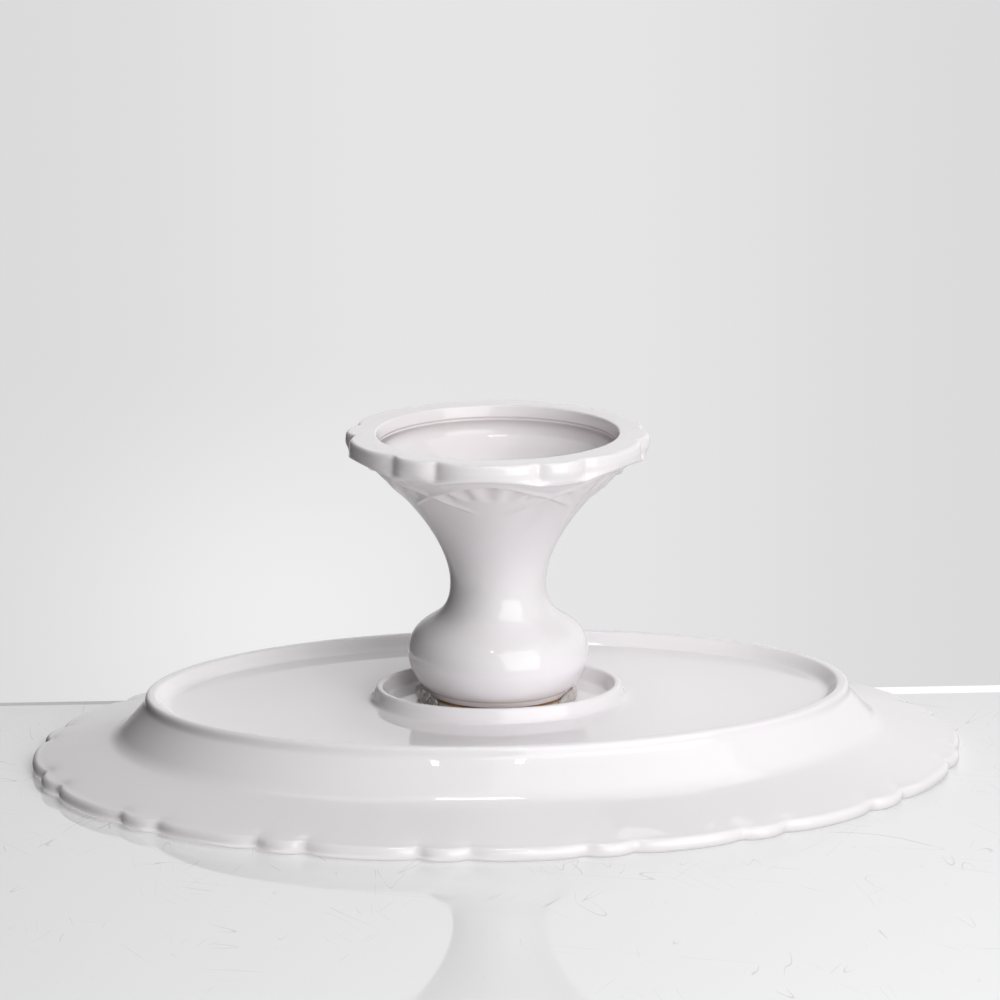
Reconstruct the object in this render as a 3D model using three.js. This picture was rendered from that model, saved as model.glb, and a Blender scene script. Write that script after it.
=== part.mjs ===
// A footed cake stand in white glazed porcelain: an oval plate with a scalloped edge, glued on a
// hollow pedestal whose foot has six long and six short lobes under an arcade of crossing arches.
// Millimetres, +Z up. The stand rests on its foot at z = 0, the pedestal's axis is Z and the plate's
// long axis is X.
import * as THREE from "three";

// Plate, seen from above
const plateLength = 304.8; // over the crowns of the long lobes
const plateWidth = 215.4;
const endRimWidth = 37.2; // from the plate's edge in to its foot ring, at the two ends
const sideRimWidth = 40; // the same at the two long sides
const platePairs = 16; // a pair is one long lobe and one short one
const plateLongShare = 0.7; // of a pair's length along the edge
const plateNotchDepth = 2.4;
const plateNotchReach = 9; // from the edge in to where a notch's hollow has run out

// Plate in section, upright
const plateHeight = 24; // from the foot ring's lowest edge to the rim's top
const rimThickness = 4.5;
const wellThickness = 5.5; // of the floor that the cake sits on
const recessDepth = 4; // from the foot ring's edge up to the plain underside within it
const ringWidth = 3.4; // across the foot ring's edge
const ringSlope = 3.6; // across the hollow slope inside the foot ring
const ringNeck = 3.2; // the steep outer wall of the foot ring
const shoulderRun = 9.6; // how far the wall of the well leans out over its height
const shoulderRise = 13.8; // from the foot ring's edge up to where that wall meets the rim
const rimNose = 2.2; // how far the half-round edge stands out from the rim's two faces
const ringSetback = 0.3; // of the foot ring's edge, from the foot of the shoulder
const wellInset = 4; // from the foot ring's outside in to the edge of the well's flat floor
const wellLipInset = 1.5; // from the top of the shoulder in to the well's upper lip
const wellCorner = 9; // radius round the well's floor
const wellLip = 11; // radius over the well's upper lip
const shoulderHollow = 8; // radius where the shoulder meets the rim from below

// Seat under the plate's middle, an oval ring with the pedestal inside it
const seatRingRise = 4.6; // how far the seat's ring stands out from the recess
const seatRingWidth = 1.9; // across its crest
const seatRingSlope = 1.5; // across each of its sides
const seatDepth = 4.6; // from the ring's crest in to the seat's floor
const seatStretch = 10.6; // how much further the seat reaches along X than along Y
const seatMargin = 2; // between the glue's edge and the seat's wall, along Y
const seatRounding = 0.8; // of the seat ring's crest

// Pedestal, turned round Z
const pedestalHeight = 85.8;
const footRadius = 49.2; // over the lobes
const footEdgeSetback = 3.4; // from the widest line in to the flat face that the foot rests on
const restingWidth = 6.6; // across that flat face
const footEdgeHeight = 7.6; // of the lobed edge, up to the flare
const footOverhang = 4; // how far the lobed edge stands out over the flare
const neckRadius = 15.2;
const neckHeight = 50;
const bulbRadius = 29.5;
const bulbHeight = 74; // up to the bulb's widest line
const baseRadius = 24.6; // where the bulb ends in the short side of its small flat end
const baseThickness = 4.2; // of the wall that closes the pedestal at that end
const baseEdge = 2; // height of that short side
const baseTaper = 0.9; // how far it leans in
const baseRounding = 0.4; // of that end's corner
const pedestalWall = 4;
const mouthWall = 3.6; // height of the plain wall inside the foot's mouth
const mouthDraft = 0.8; // how much narrower that wall is at its top
const mouthGroove = 0.5; // depth of the fine groove above that wall
const mouthGrooveWidth = 1.4;
const mouthLead = 9.2; // height where the mouth's inner wall turns into the hollow flare
const mouthTaper = 1.6; // how far that wall leans in by there
const footPairs = 6;
const footLongShare = 0.65;
const footNotchDepth = 2.2;
const pedestalTurn = 8.2; // degrees that the glued pedestal is turned against the plate

// How far the pedestal's curves hold their line at each end, as shares of the run or the rise
const flareHold = [0.33, 0.14]; // where the flare leaves the foot: inwards, and up
const neckHold = [0.385, 0.65]; // up and down the neck: below its narrowest line, and above
const bulbHold = [0.61, 0.36]; // the same at the bulb's widest line
const baseHold = [0.38, 0.1]; // where the bulb comes down to its base: outwards, and back

// Arcade in low relief round the flare: each arch spans two pairs, so that neighbours cross
const archTop = 8.9; // height of an arch's crown, just over the lobed edge
const archDrop = 11.2; // from the crown up to where its legs run out
const archRelief = 0.7;
const archHalfWidth = 0.6;
const archCrossing = 1.6; // least distance kept between two arches where they cross

// Glue
const glueGap = 0.3; // clearance on each side of the glue
const glueThickness = 2.6;
const glueHollow = 0.8; // how far the glue's edge is drawn in below the pedestal's base
const glueSwell = 0.3; // how far it swells out past the base, at the seat's floor
const dropRadius = 2; // of the clear drops beside the glue

// Facets
const edgeSteps = 4;
const plateStepsPerPair = 10;
const footStepsPerPair = 20;

const glaze = new THREE.MeshStandardMaterial({ color: 0xf4f1f0, roughness: 0.12, metalness: 0 });
const bodyGlaze = glaze.clone();
const agedGlue = new THREE.MeshStandardMaterial({ color: 0xa8733a, roughness: 0.35, metalness: 0 });
const clearGlue = new THREE.MeshStandardMaterial({ color: 0xe2d8c8, roughness: 0.15, metalness: 0 });

// Joins rings of points into one closed skin. A ring is one point, n points or 2n points, and rings
// run anticlockwise seen from above while their order climbs the outside of the section.
function skin(rings) {
  const points = rings.flat();
  const starts = [];
  let used = 0;
  for (const ring of rings) {
    starts.push(used);
    used += ring.length;
  }
  const faces = [];
  for (let i = 0; i + 1 < rings.length; i++) {
    const [low, high] = [rings[i].length, rings[i + 1].length];
    const a = (k) => starts[i] + (k % low);
    const b = (k) => starts[i + 1] + (k % high);
    const steps = Math.min(low, high) === 1 ? Math.max(low, high) : Math.min(low, high);
    for (let k = 0; k < steps; k++) {
      if (low === 1) faces.push(a(0), b(k + 1), b(k));
      else if (high === 1) faces.push(a(k), a(k + 1), b(0));
      else if (low === high) faces.push(a(k), a(k + 1), b(k + 1), a(k), b(k + 1), b(k));
      else if (high === 2 * low)
        faces.push(a(k), b(2 * k + 1), b(2 * k), a(k), a(k + 1), b(2 * k + 1), a(k + 1), b(2 * k + 2), b(2 * k + 1));
      else
        faces.push(a(2 * k), a(2 * k + 1), b(k), a(2 * k + 1), b(k + 1), b(k), a(2 * k + 1), a(2 * k + 2), b(k + 1));
    }
  }
  const geometry = new THREE.BufferGeometry().setFromPoints(points);
  geometry.setIndex(faces);
  geometry.computeVertexNormals();
  return geometry;
}

// Rounds the corners of a section. A corner is [out, up, radius, steps]; without a radius it stays.
function roundCorners(corners) {
  return corners.flatMap(([out, up, radius = 0, steps = 1], i) => {
    const here = new THREE.Vector2(out, up);
    if (!radius) return [here];
    const [before, after] = [corners[i - 1], corners[i + 1]].map(([x, y]) => new THREE.Vector2(x, y).sub(here));
    const turn = Math.PI - Math.abs(before.angleTo(after));
    const room = 0.45 * Math.min(before.length(), after.length());
    const reach = Math.min(radius * Math.tan(turn / 2), room);
    const start = before.setLength(reach).add(here);
    const end = after.setLength(reach).add(here);
    return new THREE.QuadraticBezierCurve(start, here, end).getPoints(steps);
  });
}

// How deep an edge lies inside its outline at a place counted in pairs: 0 on a crown, 1 in a notch.
function notchShare(place, longShare) {
  const fromLongCrown = Math.abs(place - Math.round(place));
  const longHalf = longShare / 2;
  if (fromLongCrown < longHalf) return (fromLongCrown / longHalf) ** 3.4;
  return ((0.5 - fromLongCrown) / (0.5 - longHalf)) ** 2.4;
}

const clamp = THREE.MathUtils.clamp;

// The plate, with its foot ring's lowest edge at z = 0
const plateHalfLength = plateLength / 2;
const plateHalfWidth = plateWidth / 2;
const ringHalfLength = plateHalfLength - endRimWidth;
const ringHalfWidth = plateHalfWidth - sideRimWidth;
const glueRadius = baseRadius - baseTaper + glueSwell;
const seatHalfWidth = glueRadius + seatMargin;
const seatHalfLength = seatHalfWidth + seatStretch;
const seatCrest = recessDepth - seatRingRise;
const seatFloor = seatCrest + seatDepth;
const seatEdge = seatRingWidth + 2 * seatRingSlope;
const wellFloor = recessDepth + wellThickness;

// The half width of the oval whose half length is given. The section is drawn once along X, and
// this carries it round: rings and slopes keep their width, and the rim and the recess spread.
function halfWidthOf(halfLength) {
  const known = [
    [0, 0],
    [seatHalfLength, seatHalfWidth],
    [seatHalfLength + seatEdge, seatHalfWidth + seatEdge],
    [ringHalfLength - ringWidth - ringSlope, ringHalfWidth - ringWidth - ringSlope],
    [ringHalfLength, ringHalfWidth],
    [plateHalfLength, plateHalfWidth],
  ];
  const after = Math.max(1, known.findIndex(([length]) => length >= halfLength - 1e-9));
  const [[x0, y0], [x1, y1]] = [known[after - 1], known[after]];
  return y0 + ((halfLength - x0) * (y1 - y0)) / (x1 - x0);
}

function plateSection() {
  const ringInner = ringHalfLength - ringWidth;
  const shoulderFoot = ringHalfLength + ringSetback;
  const shoulderTop = ringHalfLength + shoulderRun;
  const rimEnd = plateHalfLength - rimNose;
  const rimRise = plateHeight - rimThickness - shoulderRise;
  const rimUnder = (out) => [out, shoulderRise + (rimRise * (out - shoulderTop)) / (rimEnd - shoulderTop)];
  const rimTop = (out) => [out, rimUnder(out)[1] + rimThickness];
  const notchEnd = plateHalfLength - plateNotchReach;
  const notchMiddle = plateHalfLength - plateNotchReach / 2;
  const nose = Array.from({ length: edgeSteps + 1 }, (_, k) => {
    const angle = Math.PI * (k / edgeSteps - 0.5);
    const middle = plateHeight - rimThickness / 2;
    return [rimEnd + rimNose * Math.cos(angle), middle + (rimThickness / 2) * Math.sin(angle)];
  });
  return roundCorners([
    [0, seatFloor],
    [seatHalfLength, seatFloor, 1],
    [seatHalfLength + seatRingSlope, seatCrest, seatRounding],
    [seatHalfLength + seatRingSlope + seatRingWidth, seatCrest, seatRounding],
    [seatHalfLength + seatEdge, recessDepth, 1.5],
    [ringInner - ringSlope, recessDepth, 3, 2],
    [ringInner, 0, 1.6, 2],
    [ringHalfLength, 0, 2, 2],
    [shoulderFoot, ringNeck, 3],
    [shoulderTop, shoulderRise, shoulderHollow, 3],
    rimUnder(notchEnd),
    rimUnder(notchMiddle),
    ...nose,
    rimTop(notchMiddle),
    rimTop(notchEnd),
    [...rimTop(shoulderTop - wellLipInset), wellLip, 2],
    [ringHalfLength - wellInset, wellFloor, wellCorner, 2],
    [0, wellFloor],
  ]);
}

function plateGeometry() {
  const steps = platePairs * plateStepsPerPair;
  const edge = new THREE.EllipseCurve(0, 0, plateHalfLength, plateHalfWidth, 0, 2 * Math.PI);
  edge.arcLengthDivisions = 2000;
  const places = Array.from({ length: steps }, (_, k) => (k + 0.5) / steps);
  const turns = places.map((place) => 2 * Math.PI * edge.getUtoTmapping(place));
  const rings = plateSection().map(({ x: halfLength, y: height }) => {
    const halfWidth = halfWidthOf(halfLength);
    if (halfLength === 0) return [new THREE.Vector3(0, 0, height)];
    const fromEdge = plateHalfLength - halfLength;
    const hollow = clamp((plateNotchReach - fromEdge) / (plateNotchReach - rimNose), 0, 1) ** 2;
    const outward = fromEdge > plateNotchReach + 0.01 ? 2 : 1;
    const stride = halfLength < seatHalfLength + 2 * seatEdge ? 4 : outward;
    const ring = [];
    for (let k = 0; k < steps; k += stride) {
      const across = new THREE.Vector2(halfWidth * Math.cos(turns[k]), halfLength * Math.sin(turns[k])).normalize();
      const inward = hollow * plateNotchDepth * notchShare(places[k] * platePairs, plateLongShare);
      const x = halfLength * Math.cos(turns[k]) - across.x * inward;
      const y = halfWidth * Math.sin(turns[k]) - across.y * inward;
      ring.push(new THREE.Vector3(x, y, height));
    }
    return ring;
  });
  return skin(rings);
}

// The pedestal, with its resting face at z = 0
const flareRadius = footRadius - footOverhang;
const bodyHeight = pedestalHeight - baseEdge;
const neckRise = neckHeight - footEdgeHeight;
const shoulderHeight = bulbHeight - neckHeight;
const bulbFall = bodyHeight - bulbHeight;

// The outside from the lobed edge up: flare, shoulder of the bulb, and the bulb's underside
function pedestalCurves() {
  const spot = (out, up) => new THREE.Vector2(out, up);
  const flareFall = flareRadius - neckRadius;
  return [
    new THREE.CubicBezierCurve(
      spot(flareRadius, footEdgeHeight),
      spot(flareRadius - flareHold[0] * flareFall, footEdgeHeight + flareHold[1] * neckRise),
      spot(neckRadius, neckHeight - neckHold[0] * neckRise),
      spot(neckRadius, neckHeight),
    ),
    new THREE.CubicBezierCurve(
      spot(neckRadius, neckHeight),
      spot(neckRadius, neckHeight + neckHold[1] * shoulderHeight),
      spot(bulbRadius, bulbHeight - bulbHold[0] * shoulderHeight),
      spot(bulbRadius, bulbHeight),
    ),
    new THREE.CubicBezierCurve(
      spot(bulbRadius, bulbHeight),
      spot(bulbRadius, bulbHeight + bulbHold[1] * bulbFall),
      spot(baseRadius + baseHold[0] * (bulbRadius - baseRadius), bodyHeight - baseHold[1] * bulbFall),
      spot(baseRadius, bodyHeight),
    ),
  ];
}

// A point on a curve, moved along the outward normal
function offsetPoint(curve, share, distance) {
  const tangent = curve.getTangent(share);
  return curve.getPoint(share).add(new THREE.Vector2(tangent.y, -tangent.x).multiplyScalar(distance));
}

// Height of the arch whose crown is so many degrees away, in the order of its distance
function archHeight(degrees) {
  const legShare = (degrees * footPairs) / 360;
  return archTop + archDrop * (1 - Math.cos((legShare * Math.PI) / 2));
}

// Rows of the flare that follow the arches: up to the nearer arch, between the two, and past the
// further one. Each row is given as a function of the angle in degrees from the nearest crown.
function reliefRows() {
  const near = (degrees) => archHeight(degrees);
  const far = (degrees) => Math.max(archHeight(360 / footPairs - degrees), near(degrees) + archCrossing);
  const between = (share) => (degrees) => near(degrees) + share * (far(degrees) - near(degrees));
  const beside = (degrees) => Math.min(archHalfWidth, 0.3 * (far(degrees) - near(degrees)));
  return [
    { height: (degrees) => near(degrees) - archHalfWidth, relief: 0 },
    { height: near, relief: archRelief },
    { height: (degrees) => near(degrees) + beside(degrees), relief: 0.1 * archRelief },
    { height: between(0.5), relief: 0 },
    { height: (degrees) => far(degrees) - beside(degrees), relief: 0 },
    { height: far, relief: archRelief, fades: true },
    { height: (degrees) => far(degrees) + archHalfWidth, relief: 0 },
  ];
}

function pedestalGeometry() {
  const [flare, shoulder, bulb] = pedestalCurves();
  const steps = footPairs * footStepsPerPair;
  const mouthRadius = footRadius - footEdgeSetback - restingWidth;
  const pairAngle = 360 / footPairs;
  // Places round the pedestal are counted from a long lobe's crown at the front
  const angleOf = (k) => (2 * Math.PI * (k + 0.5)) / steps - Math.PI / 2;

  const plainRing = ({ x: radius, y: height }, stride = 2, lobe = 0) => {
    if (radius < 1e-6) return [new THREE.Vector3(0, 0, height)];
    const ring = [];
    for (let k = 0; k < steps; k += stride) {
      const angle = angleOf(k);
      const inward = lobe * footNotchDepth * notchShare(((k + 0.5) * footPairs) / steps, footLongShare);
      ring.push(new THREE.Vector3(Math.cos(angle), Math.sin(angle), 0).multiplyScalar(radius - inward).setZ(height));
    }
    return ring;
  };

  // The hollow, from its closed end down to the mouth, one wall inside the outside
  const hollow = [new THREE.Vector2(0, pedestalHeight - baseThickness)];
  for (const share of [0.8, 0.4, 0]) hollow.push(offsetPoint(bulb, share, -pedestalWall));
  for (const share of [0.75, 0.5, 0.25]) hollow.push(offsetPoint(shoulder, share, -pedestalWall));
  for (let step = 8; step > 0; step--) hollow.push(offsetPoint(flare, step / 8, -pedestalWall));
  const inside = hollow.filter(({ y }) => y > mouthLead + 1 && y <= pedestalHeight - baseThickness);
  const wallTop = mouthRadius - mouthDraft;
  const leadRadius = wallTop - mouthTaper;
  const mouthEdge = 0.7;
  const mouth = roundCorners([
    [inside.at(-1).x, inside.at(-1).y],
    [leadRadius, mouthLead, 1.5, 2],
    [wallTop + 0.4 * mouthGroove, mouthWall + mouthGrooveWidth],
    [wallTop + mouthGroove, mouthWall + mouthGrooveWidth / 2],
    [wallTop, mouthWall],
    [mouthRadius, 0, mouthEdge, 2],
    [mouthRadius + restingWidth, 0],
  ]).slice(1);

  // The lobed edge, outwards from the resting face and up: out, up and how deep the notches cut
  const lobedEdge = [
    [footRadius - 0.25 * footEdgeSetback, 0.05, 1],
    [footRadius, 0.2, 1],
    [footRadius, 0.6, 1],
    [footRadius - 0.16 * footOverhang, 0.82, 0.8],
    [footRadius - 0.5 * footOverhang, 0.94, 0.4],
    [flareRadius, 1, 0],
  ];

  // Radius and outward normal of the flare at a height
  const flareLine = flare.getPoints(60);
  const flareAt = (height) => {
    const above = Math.max(1, flareLine.findIndex(({ y }) => y >= height));
    const [from, to] = [flareLine[above - 1], flareLine[above]];
    const share = (height - from.y) / (to.y - from.y);
    const normal = new THREE.Vector2(to.y - from.y, from.x - to.x).normalize();
    return { radius: from.x + share * (to.x - from.x), normal };
  };

  const reliefRing = ({ height, relief, fades }) =>
    Array.from({ length: steps }, (_, k) => {
      const angle = angleOf(k);
      const turned = ((k + 0.5) / footStepsPerPair) * pairAngle;
      const degrees = Math.abs(turned - Math.round(turned / pairAngle) * pairAngle);
      const { radius, normal } = flareAt(height(degrees));
      const raised = fades ? relief * clamp(degrees / (0.2 * pairAngle), 0, 1) : relief;
      const out = radius + raised * normal.x;
      return new THREE.Vector3(Math.cos(angle) * out, Math.sin(angle) * out, height(degrees) + raised * normal.y);
    });

  const arcadeEnd = archTop + archDrop + 2 * archHalfWidth;
  const upperFlare = flare.getPoints(12).filter(({ y }) => y > arcadeEnd + 1);
  const outside = [
    ...upperFlare.slice(1),
    ...[0.18, 0.35, 0.5, 0.65, 0.82].map((share) => shoulder.getPoint(share)),
    ...[0, 0.25, 0.5, 0.75, 1].map((share) => bulb.getPoint(share)),
    new THREE.Vector2(baseRadius - baseTaper, pedestalHeight - baseRounding),
    new THREE.Vector2(baseRadius - baseTaper - baseRounding, pedestalHeight),
    new THREE.Vector2(0, pedestalHeight),
  ];

  return skin([
    ...inside.map((point) => plainRing(point, 4)),
    ...mouth.slice(0, -1).map((point) => plainRing(point)),
    plainRing(mouth.at(-1), 1, 0.8),
    ...lobedEdge.map(([out, share, lobe]) => plainRing(new THREE.Vector2(out, share * footEdgeHeight), 1, lobe)),
    ...reliefRows().map(reliefRing),
    plainRing(upperFlare[0], 1),
    ...outside.map((point) => plainRing(point)),
  ]);
}

// Glue between base and seat: a bed that is drawn in below the base and swells out on the seat
function glueBedGeometry() {
  const profile = roundCorners([
    [0, 0],
    [glueRadius - glueSwell - 0.5 * glueHollow, 0],
    [glueRadius - glueSwell - glueHollow, 0.3 * glueThickness, 1, 2],
    [glueRadius, 0.75 * glueThickness, 1.2, 3],
    [glueRadius, glueThickness],
    [0, glueThickness],
  ]);
  const geometry = new THREE.LatheGeometry(profile, 30);
  geometry.rotateX(Math.PI / 2);
  return geometry;
}

// A string of clear drops that ran out beside the glue, as one lumpy body along an arc
function glueDropsGeometry(fromDegrees, toDegrees, lumps) {
  const steps = 5 * lumps;
  const sides = 8;
  const pathRadius = glueRadius + glueGap + dropRadius;
  const rings = [];
  for (let k = 0; k <= steps; k++) {
    const share = k / steps;
    const angle = THREE.MathUtils.degToRad(fromDegrees + share * (toDegrees - fromDegrees));
    const swell = Math.abs(Math.sin(share * lumps * Math.PI));
    const taper = Math.sqrt(Math.sin(share * Math.PI));
    const radius = dropRadius * taper * (0.62 + 0.38 * swell);
    const centre = new THREE.Vector3(Math.cos(angle) * pathRadius, Math.sin(angle) * pathRadius, -dropRadius);
    if (k === 0 || k === steps) {
      rings.push([centre]);
      continue;
    }
    const out = new THREE.Vector3(Math.cos(angle), Math.sin(angle), 0);
    rings.push(
      Array.from({ length: sides }, (_, i) => {
        const around = (2 * Math.PI * i) / sides;
        return centre
          .clone()
          .addScaledVector(out, radius * Math.cos(around))
          .setZ(centre.z - radius * Math.sin(around));
      }),
    );
  }
  return skin(rings);
}

const stand = new THREE.Group();

function add(name, geometry, material, height, turn = 0) {
  const mesh = new THREE.Mesh(geometry, material);
  mesh.name = name;
  mesh.position.z = height;
  mesh.rotation.z = THREE.MathUtils.degToRad(turn);
  stand.add(mesh);
}

const glueHeight = pedestalHeight + glueGap;
const seatHeight = glueHeight + glueThickness + glueGap;

add("pedestal", pedestalGeometry(), bodyGlaze, 0, pedestalTurn);
add("glue_bed", glueBedGeometry(), agedGlue, glueHeight);
add("glue_drops_long", glueDropsGeometry(325, 368, 4), clearGlue, seatHeight - glueGap);
add("glue_drops_short", glueDropsGeometry(187, 211, 2), clearGlue, seatHeight - glueGap);
add("plate", plateGeometry(), glaze, seatHeight - seatFloor);

export default stand;
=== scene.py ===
# A footed cake stand in white glazed porcelain, standing upright on its foot. The photograph shows
# it turned over on its plate, so the camera looks up from below and is turned over too.
import math
import random

import bpy
import numpy as np
from mathutils import Matrix, Vector, noise


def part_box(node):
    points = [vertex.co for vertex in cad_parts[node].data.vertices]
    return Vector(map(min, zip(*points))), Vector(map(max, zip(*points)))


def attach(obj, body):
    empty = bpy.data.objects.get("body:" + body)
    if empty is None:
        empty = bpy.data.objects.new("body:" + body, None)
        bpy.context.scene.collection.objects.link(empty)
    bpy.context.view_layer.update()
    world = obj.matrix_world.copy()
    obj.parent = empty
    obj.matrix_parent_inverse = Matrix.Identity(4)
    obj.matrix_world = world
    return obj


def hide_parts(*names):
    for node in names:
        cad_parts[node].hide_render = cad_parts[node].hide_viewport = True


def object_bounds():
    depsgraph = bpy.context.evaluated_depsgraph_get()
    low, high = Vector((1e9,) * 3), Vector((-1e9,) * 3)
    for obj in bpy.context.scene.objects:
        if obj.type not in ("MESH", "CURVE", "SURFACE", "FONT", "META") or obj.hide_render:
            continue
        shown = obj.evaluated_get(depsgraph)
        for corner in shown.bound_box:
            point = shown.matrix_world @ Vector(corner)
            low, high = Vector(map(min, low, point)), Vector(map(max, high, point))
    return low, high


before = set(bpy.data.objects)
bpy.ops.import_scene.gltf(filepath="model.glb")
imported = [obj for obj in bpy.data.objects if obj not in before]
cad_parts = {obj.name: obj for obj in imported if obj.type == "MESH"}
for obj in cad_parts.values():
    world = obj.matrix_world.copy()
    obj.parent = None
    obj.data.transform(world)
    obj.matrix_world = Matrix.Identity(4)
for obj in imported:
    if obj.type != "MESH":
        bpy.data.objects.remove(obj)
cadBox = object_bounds()
mm = 0.001

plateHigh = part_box("plate")[1]
plateHeight = 24  # from the foot ring's lowest edge; the seat's ring reaches a little lower
plateTop = plateHigh.z / mm
plateBottom = plateTop - plateHeight
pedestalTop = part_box("pedestal")[1].z / mm
print("frame loaded, stand", round((cadBox[1].z - cadBox[0].z) / mm, 1), "mm high")


# Section lines

def softened(corners):
    # rounds the corners of a section; a corner is (out, up, radius, steps), in millimetres, and
    # one that has no radius stays sharp
    mostOfSide = 0.48  # share of a side that the rounding of one corner may take up
    line = []
    for i, corner in enumerate(corners):
        here = Vector(corner[:2])
        if len(corner) == 2:
            line.append(here)
            continue
        radius, steps = corner[2:]
        before = Vector(corners[i - 1][:2]) - here
        after = Vector(corners[i + 1][:2]) - here
        turn = math.pi - before.angle(after)
        shorter = min(mostOfSide * before.length, mostOfSide * after.length)
        reach = min(radius * math.tan(turn / 2), shorter)
        start = here + before.normalized() * reach
        end = here + after.normalized() * reach
        for k in range(steps + 1):
            share = k / steps
            line.append((1 - share) ** 2 * start + 2 * share * (1 - share) * here + share**2 * end)
    return line


def parted(line, longest):
    # adds points so that no stretch of the line is longer than this
    points = [line[0]]
    for a, b in zip(line, line[1:]):
        count = max(1, math.ceil((b - a).length / longest))
        points += [a.lerp(b, k / count) for k in range(1, count + 1)]
    return points


def bezier(a, b, c, d, steps):
    shares = [k / steps for k in range(steps + 1)]
    return [
        (1 - s) ** 3 * a + 3 * s * (1 - s) ** 2 * b + 3 * s * s * (1 - s) * c + s**3 * d
        for s in shares
    ]


lobes = {
    "longPower": 3.4,  # the higher, the flatter the crown and the tighter the notch
    "shortPower": 2.4,
}


def notchShare(place, longShare, rounding=0):
    # how deep an edge lies at a place counted in pairs of lobes: 0 on a crown, 1 in a notch
    if rounding:
        near = (-1, -0.5, 0, 0.5, 1)
        return sum(notchShare(place + rounding * k, longShare) for k in near) / len(near)
    away = abs(place - round(place))
    longHalf = longShare / 2
    if away < longHalf:
        return (away / longHalf) ** lobes["longPower"]
    return ((0.5 - away) / (0.5 - longHalf)) ** lobes["shortPower"]


def smooth(low, high, value):
    # 0 up to low, 1 from high on, and an even bend between them
    share = min(1, max(0, (value - low) / (high - low)))
    return share * share * (3 - 2 * share)


# Modelling

def raiseRings(name, columns, rings):
    # draws one closed skin from a circle, extruded from ring to ring; a ring is (half length,
    # half width, up)
    bpy.ops.object.select_all(action="DESELECT")
    bpy.ops.mesh.primitive_circle_add(vertices=columns, radius=1, fill_type="NOTHING")
    piece = bpy.context.object
    piece.name = piece.data.name = name
    bpy.ops.object.mode_set(mode="EDIT")
    bpy.ops.mesh.select_mode(type="EDGE")
    bpy.ops.mesh.select_all(action="SELECT")
    length, width, up = rings[0]
    bpy.ops.transform.resize(value=(length, width, 1), center_override=(0, 0, 0))
    bpy.ops.transform.translate(value=(0, 0, up))
    for (length, width, up), (nextLength, nextWidth, nextUp) in zip(rings, rings[1:]):
        bpy.ops.mesh.extrude_edges_move(TRANSFORM_OT_translate={"value": (0, 0, nextUp - up)})
        spread = (nextLength / length, nextWidth / width, 1)
        bpy.ops.transform.resize(value=spread, center_override=(0, 0, 0))
    for _ in range(2):  # the last ring is closed first and then the first one
        bpy.ops.mesh.edge_face_add()
        bpy.ops.mesh.poke()
        bpy.ops.mesh.select_all(action="DESELECT")
        bpy.ops.mesh.select_non_manifold()
    bpy.ops.mesh.select_all(action="SELECT")
    bpy.ops.mesh.normals_make_consistent(inside=False)
    bpy.ops.object.mode_set(mode="OBJECT")
    bpy.ops.object.shade_smooth()
    return piece


def places(piece):
    spots = np.zeros(len(piece.data.vertices) * 3)
    piece.data.vertices.foreach_get("co", spots)
    return spots.reshape(-1, 3)


def putBack(piece, spots):
    piece.data.vertices.foreach_set("co", spots.ravel())
    piece.data.update()


def paintPoints(piece, name, values):
    # a value for each point of the mesh, which a material reads by name
    layer = piece.data.attributes.new(name, "FLOAT", "POINT")
    layer.data.foreach_set("value", np.asarray(values, dtype=np.float32))


def finishPiece(piece, slot, material, *nodes):
    # from millimetres to metres, with its material and its place in the frame
    piece.data.materials.clear()
    piece.data.materials.append(material)
    piece.data.transform(Matrix.Scale(mm, 4))
    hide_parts(*nodes)
    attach(piece, "root")
    triangles = sum(len(face.vertices) - 2 for face in piece.data.polygons)
    print(piece.name, "done,", triangles, "triangles")


# Shader maths

class Value:
    # a shader socket that takes part in sums
    def __init__(self, shader, socket):
        self.shader = shader
        self.socket = socket

    def sum(self, operation, *others):
        numbers = [other.socket if isinstance(other, Value) else other for other in others]
        return self.shader.node("ShaderNodeMath", {"operation": operation}, [self.socket, *numbers])

    def __add__(self, other):
        return self.sum("ADD", other)

    __radd__ = __add__

    def __sub__(self, other):
        return self.sum("SUBTRACT", other)

    def __rsub__(self, other):
        return (self * -1) + other

    def __mul__(self, other):
        return self.sum("MULTIPLY", other)

    __rmul__ = __mul__

    def __truediv__(self, other):
        return self.sum("DIVIDE", other)

    def least(self, other):
        return self.sum("MINIMUM", other)

    def ramp(self, low, high):
        # 0 below low and 1 above high, or the other way round where high is the lower
        if low > high:
            return 1 - self.ramp(high, low)
        settings = {"interpolation_type": "SMOOTHSTEP"}
        inputs = {"Value": self.socket, "From Min": low, "From Max": high}
        return self.shader.node("ShaderNodeMapRange", settings, inputs)


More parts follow.
